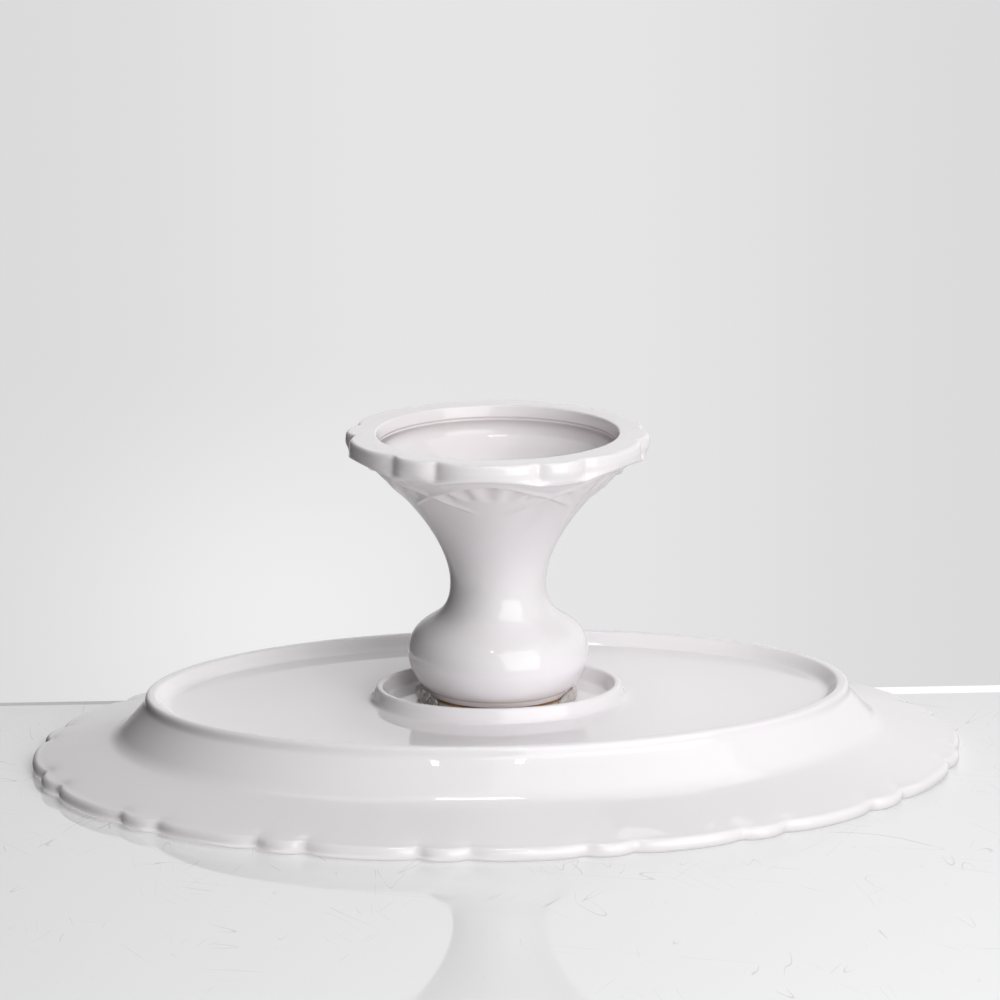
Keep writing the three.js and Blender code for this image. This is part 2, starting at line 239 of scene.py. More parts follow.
class Shader:
    def __init__(self, name, world=None):
        self.material = world or bpy.data.materials.new(name)
        self.material.use_nodes = True
        self.tree = self.material.node_tree
        self.tree.nodes.clear()

    def node(self, kind, settings=None, inputs=None, output=0):
        made = self.tree.nodes.new(kind)
        for key, value in (settings or {}).items():
            setattr(made, key, value)
        pairs = inputs.items() if isinstance(inputs, dict) else enumerate(inputs or [])
        for key, value in pairs:
            if isinstance(value, Value):
                value = value.socket
            if isinstance(value, bpy.types.NodeSocket):
                self.tree.links.new(value, made.inputs[key])
            elif value is not None:
                made.inputs[key].default_value = value
        return Value(self, made.outputs[output]) if output is not None else None

    def blend(self, share, first, second):
        # from the first colour to the second
        first, second = ((*c, 1) if isinstance(c, tuple) else c for c in (first, second))
        settings = {"data_type": "RGBA", "blend_type": "MIX"}
        return self.node("ShaderNodeMix", settings, {0: share, 6: first, 7: second}, 2)

    def finish(self, surface):
        kind = "World" if isinstance(self.material, bpy.types.World) else "Material"
        self.node(f"ShaderNodeOutput{kind}", {}, [surface], None)
        return self.material

    def place(self):
        return self.node("ShaderNodeTexCoord", output=3)

    def parts(self, vector):
        return [self.node("ShaderNodeSeparateXYZ", {}, [vector], i) for i in range(3)]

    def cloud(self, vector, scale, detail=2, roughness=0.5):
        inputs = {"Vector": vector, "Scale": scale, "Detail": detail, "Roughness": roughness}
        return self.node("ShaderNodeTexNoise", {"noise_dimensions": "3D"}, inputs)

    def cells(self, vector, scale):
        # how far the nearest cell's middle is, and a number from 0 to 1 that is the cell's own
        inputs = {"Vector": vector, "Scale": scale}
        far, colour = (
            self.node("ShaderNodeTexVoronoi", {"feature": "F1"}, inputs, output)
            for output in (0, 1)
        )
        return far, self.parts(colour)[0]


# Glaze: white porcelain under a clear gloss, with painted shade that makes it darker and a little
# rosier in hollows, on ridges and near the plate

glaze = {
    "body": (0.89, 0.862, 0.88),
    # the colour of the painted shade in notches, grooves, scoops, on ridges and near the plate
    "paintedShade": (0.83, 0.765, 0.77),
    "thin": (0.895, 0.875, 0.888),
    "tan": (0.50, 0.30, 0.15),
    "speck": (0.32, 0.27, 0.24),
    "roughness": 0.006,
    "cloudyRoughness": 0.015,
    "bareRoughness": 0.3,
    "waveScale": 45,  # of the slow waves in the gloss, per metre
    "waveHeight": 0.00003,
    "peelScale": 420,
    "peelHeight": 0.000003,
    "speckScale": 48,
    "speckSize": 0.00022,  # metres, as all below
    "speckDepth": 0.00008,
    "flareShadeHeights": (0.045, 0.015),  # heights between which rosy painted shade comes in on the flare
    # heights between which the same rosy painted shade comes in on the bulb's end at the plate
    "bulbBloom": (0.074, 0.084),
    "tanWaver": 0.0009,  # of the line where the glaze ends
    "tanSoft": 0.0002,
    "tanWidth": 0.0006,
}

# how much painted shade, a darker and rosier glaze colour, each place gets, from 0 to 1
paintedShadeLevels = {
    "plateNotch": 0.25,
    "inside": 0.05,
    "groove": 0.95,
    "footNotch": 0.5,
    "scoop": 0.8,
    "ridge": 0.5,
}


def glazeShader(name, tanFrom=None):
    # tanFrom is the height at which the pedestal's glaze ends, and the plate has none
    s = Shader(name)
    place = s.place()
    up = s.parts(place)[2]
    cloudy = s.cloud(place, 14, 3)
    colour = s.blend(cloudy.ramp(0.35, 0.7) * 0.35, glaze["body"], glaze["thin"])
    paintedShade = s.node("ShaderNodeAttribute", {"attribute_name": "paintedShade"}, output=2)
    if tanFrom is not None:
        # rosy painted shade on the flare and on the bulb's end at the plate
        paintedRosyShade = up.ramp(*glaze["flareShadeHeights"]) + up.ramp(*glaze["bulbBloom"])
        paintedShade = paintedShade + paintedRosyShade * s.cloud(place, 26, 2).ramp(0.3, 0.75) * 0.55
    # painted shade: the glaze goes darker and rosier by the painted amount
    colour = s.blend(paintedShade.least(1) * 0.75, colour, glaze["paintedShade"])

    # kiln specks: a few cells hold a dot
    far, own = s.cells(place, glaze["speckScale"])
    dotSize = glaze["speckSize"] * glaze["speckScale"]
    dot = far.ramp(dotSize, dotSize * 0.5) * own.ramp(0.86, 0.87)
    colour = s.blend(dot * 0.45, colour, glaze["speck"])

    smudges = s.cloud(place, 90, 4).ramp(0.45, 0.8)
    rough = glaze["roughness"] + smudges * glaze["cloudyRoughness"]
    if tanFrom is not None:
        # the glaze ends in a tan line above the base, which was wiped bare
        edge = up + (s.cloud(place, 60, 2) - 0.5) * glaze["tanWaver"]
        soft = glaze["tanSoft"]
        bare = edge.ramp(tanFrom - soft, tanFrom + soft)
        seam = bare * edge.ramp(tanFrom + glaze["tanWidth"], tanFrom + soft)
        stained = s.cloud(place, 120, 3).ramp(0.35, 0.75)
        colour = s.blend(bare * (stained * 0.14 + 0.06) + seam * 0.5, colour, glaze["tan"])
        rough = rough + bare * glaze["bareRoughness"]

    waves = s.cloud(place, glaze["waveScale"], 1)
    peel = s.cloud(place, glaze["peelScale"], 1)
    relief = waves * glaze["waveHeight"] + peel * glaze["peelHeight"] - dot * glaze["speckDepth"]
    bump = s.node("ShaderNodeBump", {}, {"Strength": 1, "Distance": 1, "Height": relief})
    inputs = {"Base Color": colour, "Roughness": rough, "Normal": bump, "IOR": 1.49}
    return s.finish(s.node("ShaderNodeBsdfPrincipled", {}, inputs))


# The finish of both glues: from the darker streaks to the lighter ones

glueLook = {
    "amber": ((0.26, 0.12, 0.03), (0.50, 0.30, 0.12)),
    "pale": ((0.66, 0.57, 0.53), (0.78, 0.71, 0.68)),
    "clear": (0.93, 0.91, 0.89),
    "amberWaver": 0.0010,  # metres
}


def agedGlueShader(amberUpTo):
    # amber along the joint with the base, and paler past it where it is thin and clear
    s = Shader("agedGlue")
    place = s.place()
    streaks = s.cloud(place, 160, 4, 0.6)
    lighter = streaks.ramp(0.35, 0.7)
    amber = s.blend(lighter, *glueLook["amber"])
    pale = s.blend(lighter, *glueLook["pale"])
    line = s.parts(place)[2] + (s.cloud(place, 90, 2) - 0.5) * glueLook["amberWaver"]
    colour = s.blend(line.ramp(amberUpTo - 0.0002, amberUpTo + 0.0003), amber, pale)
    bump = s.node("ShaderNodeBump", {}, {"Strength": 0.6, "Distance": 0.0004, "Height": streaks})
    inputs = {
        "Base Color": colour,
        "Roughness": streaks * 0.2 + 0.22,
        "Normal": bump,
        "IOR": 1.48,
        "Subsurface Weight": 0.3,
        "Subsurface Radius": (1, 0.6, 0.25),
        "Subsurface Scale": 0.002,
    }
    return s.finish(s.node("ShaderNodeBsdfPrincipled", {}, inputs))


def clearGlueShader(name, run):
    s = Shader(name)
    place = s.place()
    swirl = s.cloud(place, 260, 2, 0.5)
    colour = s.blend(swirl.ramp(0.4, 0.65), glueLook["clear"], run["tint"])
    inputs = {"Strength": run["swirl"], "Distance": 0.0008, "Height": swirl}
    bump = s.node("ShaderNodeBump", {}, inputs)
    inputs = {
        "Base Color": colour,
        "Roughness": 0.03,
        "Normal": bump,
        "IOR": 1.47,
        "Transmission Weight": run["clear"],
    }
    return s.finish(s.node("ShaderNodeBsdfPrincipled", {}, inputs))


# The plate

plate = {
    "halfLength": plateHigh.x / mm,
    "halfWidth": plateHigh.y / mm,
    "endRimWidth": 37.2,
    "sideRimWidth": 40,
    "pairs": 16,
    "longShare": 0.7,
    "notchDepth": 2.4,
    "notchReach": 9,
    "height": plateTop - plateBottom,
    "rimThickness": 4.5,
    "rimNose": 2.2,
    "wellThickness": 5.5,
    "recessDepth": 4,
    "ringWidth": 3.4,
    "ringSlope": 3.6,
    "ringNeck": 3.2,
    "shoulderRun": 9.6,
    "shoulderRise": 13.8,
    "wellInset": 4,
    "wellLipInset": 1.5,
    "seatHalfWidth": 26,
    "seatStretch": 10.6,
    "seatRingRise": 4.6,
    "seatRingWidth": 1.9,
    "seatRingSlope": 1.5,
    "seatDepth": 4.6,
    "columns": 512,
    "longestStep": 4,
}


def plateHalfWidthOf(halfLength):
    # the half width of the ring whose half length is given, so that the rims keep their widths
    p = plate
    seatLength = p["seatHalfWidth"] + p["seatStretch"]
    seatEdge = p["seatRingWidth"] + 2 * p["seatRingSlope"]
    ringLength = p["halfLength"] - p["endRimWidth"]
    ringWidth = p["halfWidth"] - p["sideRimWidth"]
    ringAll = p["ringWidth"] + p["ringSlope"]
    known = [
        (0, 0),
        (seatLength, p["seatHalfWidth"]),
        (seatLength + seatEdge, p["seatHalfWidth"] + seatEdge),
        (ringLength - ringAll, ringWidth - ringAll),
        (ringLength, ringWidth),
        (p["halfLength"], p["halfWidth"]),
    ]
    for (x0, y0), (x1, y1) in zip(known, known[1:]):
        if halfLength <= x1 + 1e-6:
            return y0 + (halfLength - x0) * (y1 - y0) / (x1 - x0)
    return p["halfWidth"]


def plateSection():
    # from the middle of the underside out to the rim and back over the well (out, up)
    p = plate
    ringOuter = p["halfLength"] - p["endRimWidth"]
    ringInner = ringOuter - p["ringWidth"]
    seatLength = p["seatHalfWidth"] + p["seatStretch"]
    seatCrest = p["recessDepth"] - p["seatRingRise"]
    seatFloor = seatCrest + p["seatDepth"]
    seatEdge = p["seatRingWidth"] + 2 * p["seatRingSlope"]
    shoulderTop = ringOuter + p["shoulderRun"]
    rimEnd = p["halfLength"] - p["rimNose"]
    rimRise = p["height"] - p["rimThickness"] - p["shoulderRise"]
    wellFloor = p["recessDepth"] + p["wellThickness"]

    def rimUnder(out):
        return (out, p["shoulderRise"] + rimRise * (out - shoulderTop) / (rimEnd - shoulderTop))

    def rimTop(out):
        return (out, rimUnder(out)[1] + p["rimThickness"])

    noseSteps = 14
    middle = p["height"] - p["rimThickness"] / 2
    nose = []
    for k in range(noseSteps + 1):
        angle = math.pi * (k / noseSteps - 0.5)
        out = rimEnd + p["rimNose"] * math.cos(angle)
        nose.append((out, middle + p["rimThickness"] / 2 * math.sin(angle)))
    lobed = [p["halfLength"] - p["notchReach"] * share for share in (1, 0.7, 0.45)]
    return softened([
        (1, seatFloor),
        (seatLength, seatFloor, 1.2, 4),
        (seatLength + p["seatRingSlope"], seatCrest, 1.1, 5),
        (seatLength + p["seatRingSlope"] + p["seatRingWidth"], seatCrest, 1.1, 5),
        (seatLength + seatEdge, p["recessDepth"], 2.4, 5),
        (ringInner - p["ringSlope"], p["recessDepth"], 4, 6),
        (ringInner, 0, 1.9, 6),
        (ringOuter, 0, 2.2, 7),
        (ringOuter + 0.3, p["ringNeck"], 3, 6),
        (shoulderTop, p["shoulderRise"], 10, 9),
        *[rimUnder(out) for out in lobed],
        *nose,
        *[rimTop(out) for out in reversed(lobed)],
        (*rimTop(shoulderTop - p["wellLipInset"]), 13, 9),
        (ringOuter - p["wellInset"], wellFloor, 12, 9),
        (1, wellFloor),
    ])


def edgeShares():
    # share of the oval edge's length passed at each of many angles, to space the lobes evenly
    count = 3600
    p = plate
    turns = np.linspace(0, 2 * math.pi, count + 1)
    x = p["halfLength"] * np.cos(turns)
    y = p["halfWidth"] * np.sin(turns)
    steps = np.hypot(np.diff(x), np.diff(y))
    return turns, np.concatenate([[0], np.cumsum(steps)]) / steps.sum()


def makePlate():
    p = plate
    line = parted(plateSection(), p["longestStep"])
    rings = [(spot.x, plateHalfWidthOf(spot.x), plateBottom + spot.y) for spot in line]
    piece = raiseRings("plateShell", p["columns"], rings)
    spots = places(piece)
    turns, shares = edgeShares()
    paintedShade = np.zeros(len(spots))
    for i, (x, y, _) in enumerate(spots):
        ring = i // p["columns"]
        if ring >= len(rings):  # the two middles
            continue
        halfLength, halfWidth, _ = rings[ring]
        fromEdge = p["halfLength"] - halfLength
        turn = math.atan2(y / halfWidth, x / halfLength) % (2 * math.pi)
        if fromEdge < p["notchReach"]:
            hollow = (p["notchReach"] - fromEdge) / (p["notchReach"] - p["rimNose"])
            hollow = min(1, max(0, hollow)) ** 2
            share = np.interp(turn, turns, shares)
            depth = p["notchDepth"] * notchShare(share * p["pairs"], p["longShare"])
            across = Vector((halfWidth * math.cos(turn), halfLength * math.sin(turn)))
            across.normalize()
            spots[i, 0] -= across.x * depth * hollow
            spots[i, 1] -= across.y * depth * hollow
            # painted shade in the rim's notches
            paintedShade[i] = paintedShadeLevels["plateNotch"] * hollow * depth / p["notchDepth"]
    putBack(piece, spots)
    paintPoints(piece, "paintedShade", paintedShade)
    return piece


# The pedestal

pedestal = {
    "footRadius": 49.2,
    "footEdgeSetback": 3.4,
    "restingWidth": 6.6,
    "footEdgeHeight": 7.6,
    "footOverhang": 4,
    "neckRadius": 15.6,
    "neckHeight": 50,
    "bulbRadius": 29.5,
    "bulbHeight": 74,
    # how far each curve of the outside runs straight on from its end, as a share (out, up)
    "flareEase": (0.33, 0.14),
    "neckEase": (0.385, 0.65),  # below the neck and above it
    "bulbEase": (0.61, 0.36),
    "baseEase": (0.38, 0.1),
    "baseRadius": 24.6,
    "baseThickness": 4.2,
    "baseEdge": 2,
    "baseTaper": 0.9,
    "bareEnd": 2.2,  # the glaze ends this far from the closed end
    "wall": 4,
    "mouthWall": 3.6,
    "mouthDraft": 0.8,
    "mouthGroove": 0.5,
    "mouthGrooveWidth": 1.4,
    "mouthLead": 9.2,
    "mouthTaper": 1.6,
    "pairs": 6,
    "longShare": 0.67,
    "notchDepth": 2.4,
    "notchRounding": 0.013,
    "notchUnder": 0.85,  # share of the notches' depth that the resting face has
    "notchFade": 0.66,  # share of the edge's height from which the notches fade out
    "webDepth": 1.1,
    "edgeArch": 1.6,  # how much lower the edge is on a long lobe's crown than in its notches
    "edgeArchFrom": 0.3,  # share of the edge's height
    "edgeArchFade": 5.5,
    "turn": 9,  # degrees that it is turned against the plate
    "columns": 432,
    "longestStep": 5,
    "edgeStep": 0.6,
    "bandStep": 0.4,
}
flareRadius = pedestal["footRadius"] - pedestal["footOverhang"]

arcade = {
    "top": 8.9,  # height of an arch's crown
    "drop": 7.3,
    "spread": 2.3,
    "relief": 0.8,
    "insideWidth": 0.5,  # of a ridge's slope on the side of its palmette
    "outsideWidth": 1,
    "legEnd": 55,  # degrees from the crown
    "legFade": 20,
    "bandEnd": 23,  # height to which the pedestal is finely parted for the arches
}

palmette = {
    "depth": 1,
    "innerDepth": 0.5,  # share of the depth at a scoop's inner end
    "start": (0.35, 1.15),  # distances inside the arch where a scoop begins and is full
    # scoops of one side: outer end and inner end as (degrees, height), and half widths there
    "scoops": [
        ((0, 10.6), (0, 12.8), 4.6, 3.2),
        ((12.4, 11.2), (9.8, 13.1), 4.2, 2.9),
        ((22, 12.7), (19, 13.9), 2.8, 2),
    ],
}


def pedestalCurves():
    # the outside as three curves, up the flare, over the shoulder and round the bulb
    q = pedestal
    top = pedestalTop - q["baseEdge"]
    foot, neck = q["footEdgeHeight"], q["neckHeight"]
    rise, shoulder, fall = neck - foot, q["bulbHeight"] - neck, top - q["bulbHeight"]
    flareOut, flareUp = q["flareEase"]
    belowNeck, aboveNeck = q["neckEase"]
    belowBulb, aboveBulb = q["bulbEase"]
    baseOut, baseUp = q["baseEase"]
    flareFall = flareRadius - q["neckRadius"]
    bulbOver = q["bulbRadius"] - q["baseRadius"]
    curves = [
        [
            (flareRadius, foot),
            (flareRadius - flareOut * flareFall, foot + flareUp * rise),
            (q["neckRadius"], neck - belowNeck * rise),
            (q["neckRadius"], neck),
        ],
        [
            (q["neckRadius"], neck),
            (q["neckRadius"], neck + aboveNeck * shoulder),
            (q["bulbRadius"], q["bulbHeight"] - belowBulb * shoulder),
            (q["bulbRadius"], q["bulbHeight"]),
        ],
        [
            (q["bulbRadius"], q["bulbHeight"]),
            (q["bulbRadius"], q["bulbHeight"] + aboveBulb * fall),
            (q["baseRadius"] + baseOut * bulbOver, top - baseUp * fall),
            (q["baseRadius"], top),
        ],
    ]
    return [[Vector(spot) for spot in curve] for curve in curves]


def offsetLine(line, distance):
    # the line moved along its normal, to the left of its direction for a positive distance
    moved = []
    for i, spot in enumerate(line):
        along = (line[min(i + 1, len(line) - 1)] - line[max(i - 1, 0)]).normalized()
        moved.append(spot + Vector((-along.y, along.x)) * distance)
    return moved


def pedestalInside():
    # from the closed end down the hollow and through the mouth to the foot's resting face
    q = pedestal
    flare, shoulder, bulb = pedestalCurves()
    inner = [
        *offsetLine(bezier(*bulb, 8), q["wall"])[::-1],
        *offsetLine(bezier(*shoulder, 14), q["wall"])[::-1][1:],
        *offsetLine(bezier(*flare, 24), q["wall"])[::-1][1:],
    ]
    closed = pedestalTop - q["baseThickness"]
    inner = [spot for spot in inner if q["mouthLead"] + 1 < spot.y < closed - 0.4]
    mouth = q["footRadius"] - q["footEdgeSetback"] - q["restingWidth"]
    wallTop = mouth - q["mouthDraft"]
    foot = softened([
        tuple(inner[-1]),
        (wallTop - q["mouthTaper"], q["mouthLead"], 2.2, 5),
        (wallTop + 0.4 * q["mouthGroove"], q["mouthWall"] + q["mouthGrooveWidth"], 0.5, 3),
        (wallTop + q["mouthGroove"], q["mouthWall"] + q["mouthGrooveWidth"] / 2, 0.4, 3),
        (wallTop, q["mouthWall"], 0.4, 3),
        (mouth, 0, 0.8, 5),
        (mouth + q["restingWidth"], 0),
    ])[1:]
    return [Vector((1, closed)), Vector((inner[0].x - 3, closed)), *inner, *foot]


def footEdgeLine():
    # the lobed edge, outwards from the resting face and up (out, up, how deep the notches cut)
    q = pedestal
    out, high = q["footRadius"], q["footEdgeHeight"]
    line = softened([
        (out - q["footEdgeSetback"], 0),
        (out - 0.3, 0, 1.7, 9),
        (out, 0.4 * high),
        (out - 0.2, high - 0.3, 2.4, 11),
        (flareRadius, high),
    ])
    line = parted(line, q["edgeStep"])[1:]
    return [(spot.x, spot.y, 1 - smooth(q["notchFade"], 1.0, spot.y / high)) for spot in line]


def webShare(place, height):
    # the short lobes are drawn in below their edge, where they meet the flare
    q = pedestal
    away = abs(place - round(place)) - q["longShare"] / 2
    if away < 0:
        return 0
    across = math.sin(math.pi / 2 * away / (0.5 - q["longShare"] / 2))
    high = q["footEdgeHeight"]
    risen = smooth(0.45 * high, 0.85 * high, height)
    return across * risen * (1 - smooth(0.93 * high, high, height))


def archHeight(degrees):
    # of an arch's line, at an angle from its crown
    fall = 1 - math.cos(math.radians(arcade["spread"] * degrees))
    return arcade["top"] + arcade["drop"] * fall


def edgeLift(place, height):
    # the edge is drawn down on the long lobes and the flare follows it, up to the arches
    q = pedestal
    away = min(1, abs(place - round(place)) / (q["longShare"] / 2))
    high = q["footEdgeHeight"]
    bend = q["edgeArch"] * (away * away - 1)
    risen = smooth(q["edgeArchFrom"] * high, high, height)
    return bend * risen * (1 - smooth(high, high + q["edgeArchFade"], height))


def reliefAt(degrees, height, radius, slant):
    # how far the flare stands out at an angle from the nearest crown, and how deep a scoop is
    # there; slant is the length along the surface for each millimetre of height
    period = 360 / pedestal["pairs"]
    out = 0
    inside = 0
    for away in (degrees, period - degrees):
        line = archHeight(away)
        spread = math.radians(arcade["spread"])
        tilt = arcade["drop"] * spread * math.sin(spread * away) * slant
        perDegree = math.radians(1) * radius
        across = (height - line) * slant / math.hypot(1, tilt / perDegree)
        fade = 1 - smooth(arcade["legEnd"] - arcade["legFade"], arcade["legEnd"], away)
        width = arcade["insideWidth"] if across > 0 else arcade["outsideWidth"]
        out = max(out, fade * arcade["relief"] * math.exp(-((across / width) ** 2)))
        if away == degrees:
            inside = smooth(*palmette["start"], across)
    shallower = 1 - palmette["innerDepth"]
    scoop = 0
    for outer, inner, wide, narrow in palmette["scoops"]:
        a = Vector((math.radians(outer[0]) * radius, outer[1] * slant))
        b = Vector((math.radians(inner[0]) * radius, inner[1] * slant))
        here = Vector((math.radians(degrees) * radius, height * slant))
        share = min(1, max(0, (here - a).dot(b - a) / (b - a).length_squared))
        width = wide + (narrow - wide) * share
        near = (here - a.lerp(b, share)).length / width
        if near < 1:
            scoop = max(scoop, (1 - near * near) ** 2 * (1 - shallower * share))
    scoop *= inside
    return out - palmette["depth"] * scoop, scoop


def makePedestal():
    q = pedestal
    inside = parted(pedestalInside(), q["longestStep"])
    edge = footEdgeLine()
    flare, shoulder, bulb = pedestalCurves()
    band = [spot for spot in bezier(*flare, 400) if spot.y < arcade["bandEnd"]]
    bandLine = [band[0]]
    for spot in band:
        if (spot - bandLine[-1]).length > q["bandStep"]:
            bandLine.append(spot)
    rest = [spot for spot in bezier(*flare, 40) if spot.y > bandLine[-1].y + 0.5]
    outside = [
        *rest,
        *bezier(*shoulder, 22)[1:],
        *bezier(*bulb, 16)[1:-1],
        *softened([
            tuple(bezier(*bulb, 16)[-2]),
            (q["baseRadius"], pedestalTop - q["baseEdge"], 0.3, 3),
            (q["baseRadius"] - q["baseTaper"], pedestalTop, 0.45, 4),
            (1, pedestalTop),
        ])[1:],
    ]
    line = [
        *inside,
        *[Vector((out, up)) for out, up, _ in edge],
        *bandLine[1:],
        *outside,
    ]
    rings = [(spot.x, spot.x, spot.y) for spot in line]
    piece = raiseRings("pedestalBody", q["columns"], rings)
    spots = places(piece)
    edgeStart = len(inside)
    edgeEnd = edgeStart + len(edge)
    bandEnd = edgeEnd + len(bandLine) - 1
    paintedShade = np.zeros(len(spots))
    crown = -90 + q["turn"]
    period = 360 / q["pairs"]
    groove = q["mouthWall"] + q["mouthGrooveWidth"] / 2
    for i, (x, y, z) in enumerate(spots):
        ring = i // q["columns"]
        if ring < edgeStart - 1:
            # painted shade: rosier inside, with a darker painted line in the mouth's groove
            fromGroove = (z - groove) / (0.5 * q["mouthGrooveWidth"])
            paintedShade[i] = paintedShadeLevels["inside"] + paintedShadeLevels["groove"] * math.exp(-(fromGroove**2))
        if not edgeStart - 1 <= ring < bandEnd:
            continue
        angle = math.atan2(y, x)
        place = (math.degrees(angle) - crown) / period
        spots[i, 2] += edgeLift(place, z)
        if ring < edgeEnd:
            cut = q["notchUnder"] if ring < edgeStart else edge[ring - edgeStart][2]
            notch = notchShare(place, q["longShare"], q["notchRounding"])
            depth = q["notchDepth"] * cut * notch + q["webDepth"] * webShare(place, z)
            spots[i, 0] -= depth * math.cos(angle)
            spots[i, 1] -= depth * math.sin(angle)
            # painted shade in the foot's notches
            paintedShade[i] = paintedShadeLevels["footNotch"] * cut * notch**2
            continue
        before, here, after = (line[k] for k in (ring - 1, ring, ring + 1))
        along = (after - before).normalized()
        slant = 1 / max(0.2, along.y)
        degrees = abs(place - round(place)) * period
        out, scoop = reliefAt(degrees, here.y, here.x, slant)
        normal = Vector((along.y, -along.x))
        spots[i, 0] += out * normal.x * math.cos(angle)
        spots[i, 1] += out * normal.x * math.sin(angle)
        spots[i, 2] += out * normal.y
        # painted shade in the scoops and along the arches' ridges
        paintedShade[i] = paintedShadeLevels["scoop"] * scoop + paintedShadeLevels["ridge"] * max(0, out)
    putBack(piece, spots)
    paintPoints(piece, "paintedShade", paintedShade)
    return piece


# Glue

glue = {
    "bedBottom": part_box("glue_bed")[0].z / mm,
    "bedTop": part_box("glue_bed")[1].z / mm,
    "radius": 24,
    "hollow": 1.6,  # how far its edge is drawn in halfway
    "waver": 0.8,
    "amberHeight": 0.9,
    "columns": 240,
    "dropGrain": 0.18,  # of the mesh of the drops once they are merged
    "lastDrop": 0.35,  # size of the drops at the ends of a run, as a share
}


def makeGlueBed():
    # a bed under the base whose edge is drawn in, swells on the seat and wavers
    g = glue
    low, high = g["bedBottom"], g["bedTop"]
    line = softened([
        (1, low),
        (g["radius"] - 0.5, low),
        (g["radius"] - g["hollow"], low + 0.35 * (high - low), 1.2, 5),
        (g["radius"] - 0.1, low + 0.8 * (high - low), 1.2, 6),
        (g["radius"] - 0.1, high),
        (1, high),
    ])
    rings = [(spot.x, spot.x, spot.y) for spot in parted(line, 4)]
    piece = raiseRings("glueBed", g["columns"], rings)
    spots = places(piece)
    for i, (x, y, z) in enumerate(spots):
        reach = math.hypot(x, y)
        if reach < g["radius"] - 2:
            continue
        spot = Vector((x, y, z))
        waver = noise.noise(spot * 0.2) * 0.5 + noise.noise(spot * 0.9) * 0.2
        scale = 1 - g["waver"] * abs(waver) / reach
        spots[i, 0] *= scale
        spots[i, 1] *= scale
    putBack(piece, spots)
    return piece


def makeGlueDrops(name, run):
    # clear drops that ran into each other beside the bed
    g = glue
    draw = random.Random(run["seed"])
    high = g["bedTop"]
    low = high - 2 * run["size"] * run["tall"] - run["raised"]
    bpy.ops.object.select_all(action="DESELECT")
    drops = []
    for k in range(run["lumps"]):
        share = (k + 0.5) / run["lumps"]
        turn = math.radians(run["from"] + share * (run["to"] - run["from"]))
        fuller = g["lastDrop"] + (1 - g["lastDrop"]) * math.sin(math.pi * share) ** 0.6
        size = run["size"] * (1 - run["uneven"] * draw.random()) * fuller
        reach = run["reach"] + 2 * run["uneven"] * (draw.random() - 0.5)
        up = high - size * run["tall"] - run["raised"]
        spot = (reach * math.cos(turn), reach * math.sin(turn), up)
        bpy.ops.mesh.primitive_uv_sphere_add(segments=24, ring_count=14, radius=size, location=spot)
        drop = bpy.context.object
        bpy.ops.object.mode_set(mode="EDIT")
        spread = (1 + run["uneven"] * draw.random(), 1 + run["uneven"] * draw.random(), run["tall"])
        bpy.ops.transform.resize(value=spread, center_override=spot)
        bpy.ops.object.mode_set(mode="OBJECT")
        drops.append(drop)
    for drop in drops:
        drop.select_set(True)
    bpy.context.view_layer.objects.active = drops[0]
    bpy.ops.object.join()
    piece = bpy.context.object
    piece.name = piece.data.name = name
    bpy.ops.object.transform_apply(location=True, rotation=True, scale=True)
    remesh = piece.modifiers.new("merge", "REMESH")
    remesh.mode = "VOXEL"
    remesh.voxel_size = g["dropGrain"]
    bpy.ops.object.modifier_apply(modifier=remesh.name)
    soften = piece.modifiers.new("soften", "SMOOTH")
    soften.iterations = 6
    bpy.ops.object.modifier_apply(modifier=soften.name)
    spots = places(piece)
    spots[:, 2] = np.clip(spots[:, 2], low, high)
    putBack(piece, spots)
    bpy.ops.object.shade_smooth()
    return piece


# a run of drops: its ends in degrees, sizes in millimetres, and how its glue looks
longRun = {
    "from": 325,
    "to": 369,
    "reach": 25.9,
    "size": 1.65,
    "tall": 1.6,
    "raised": 0.6,
    "uneven": 0.3,
    "lumps": 14,
    "tint": (0.72, 0.66, 0.62),
    "clear": 0.85,
    "swirl": 0.9,
    "seed": 4,
}

shortRun = {
    "from": 182,
    "to": 224,
    "reach": 24.9,
    "size": 1.2,
    "tall": 1.8,
    "raised": 0.2,
    "uneven": 0.06,
    "lumps": 19,
    "tint": (0.80, 0.70, 0.64),
    "clear": 0.55,
    "swirl": 0.15,
    "seed": 9,
}

plateGlaze = glazeShader("plateGlaze")
tanFrom = (pedestalTop - pedestal["bareEnd"]) * mm
pedestalGlaze = glazeShader("pedestalGlaze", tanFrom)
finishPiece(makePlate(), "white_glaze", plateGlaze, "plate")
finishPiece(makePedestal(), "white_glaze", pedestalGlaze, "pedestal")
agedGlue = agedGlueShader((glue["bedBottom"] + glue["amberHeight"]) * mm)
finishPiece(makeGlueBed(), "aged_glue", agedGlue, "glue_bed")
for name, node, run in (
    ("clearDropsLong", "glue_drops_long", longRun),
    ("clearDropsShort", "glue_drops_short", shortRun),
):
    finishPiece(makeGlueDrops(name, run), "clear_glue", clearGlueShader(name, run), node)


# Where things stood in the photograph: its right, away from the camera and up, from the middle of
# the plate's rim. The stand lay on its plate there, with the plate's long axis turned a little.

photo = {
    "plateYaw": 4.66,  # degrees
    "frame": 1000,  # pixels across
    "focal": 3782.5,
    "right": -0.314,
    "away": -1187.4,
    "up": 379.76,
    "tilt": 13.883,
    "pan": 0.05,
    "roll": -0.24,
}


def fromPhoto(right, away, up):
    # a place in the photograph, in millimetres, to one in the stand's frame
    spot = Vector((-right, away, 0)) * mm
    spot.rotate(Matrix.Rotation(math.radians(photo["plateYaw"]), 3, "Z"))
    return spot + Vector((0, 0, plateTop * mm - up * mm))


def turnFromPhoto():
    # turns the photograph's directions into the stand's own
    yaw = Matrix.Rotation(math.radians(photo["plateYaw"]), 3, "Z")
    return yaw @ Matrix.Rotation(math.pi, 3, "Y")


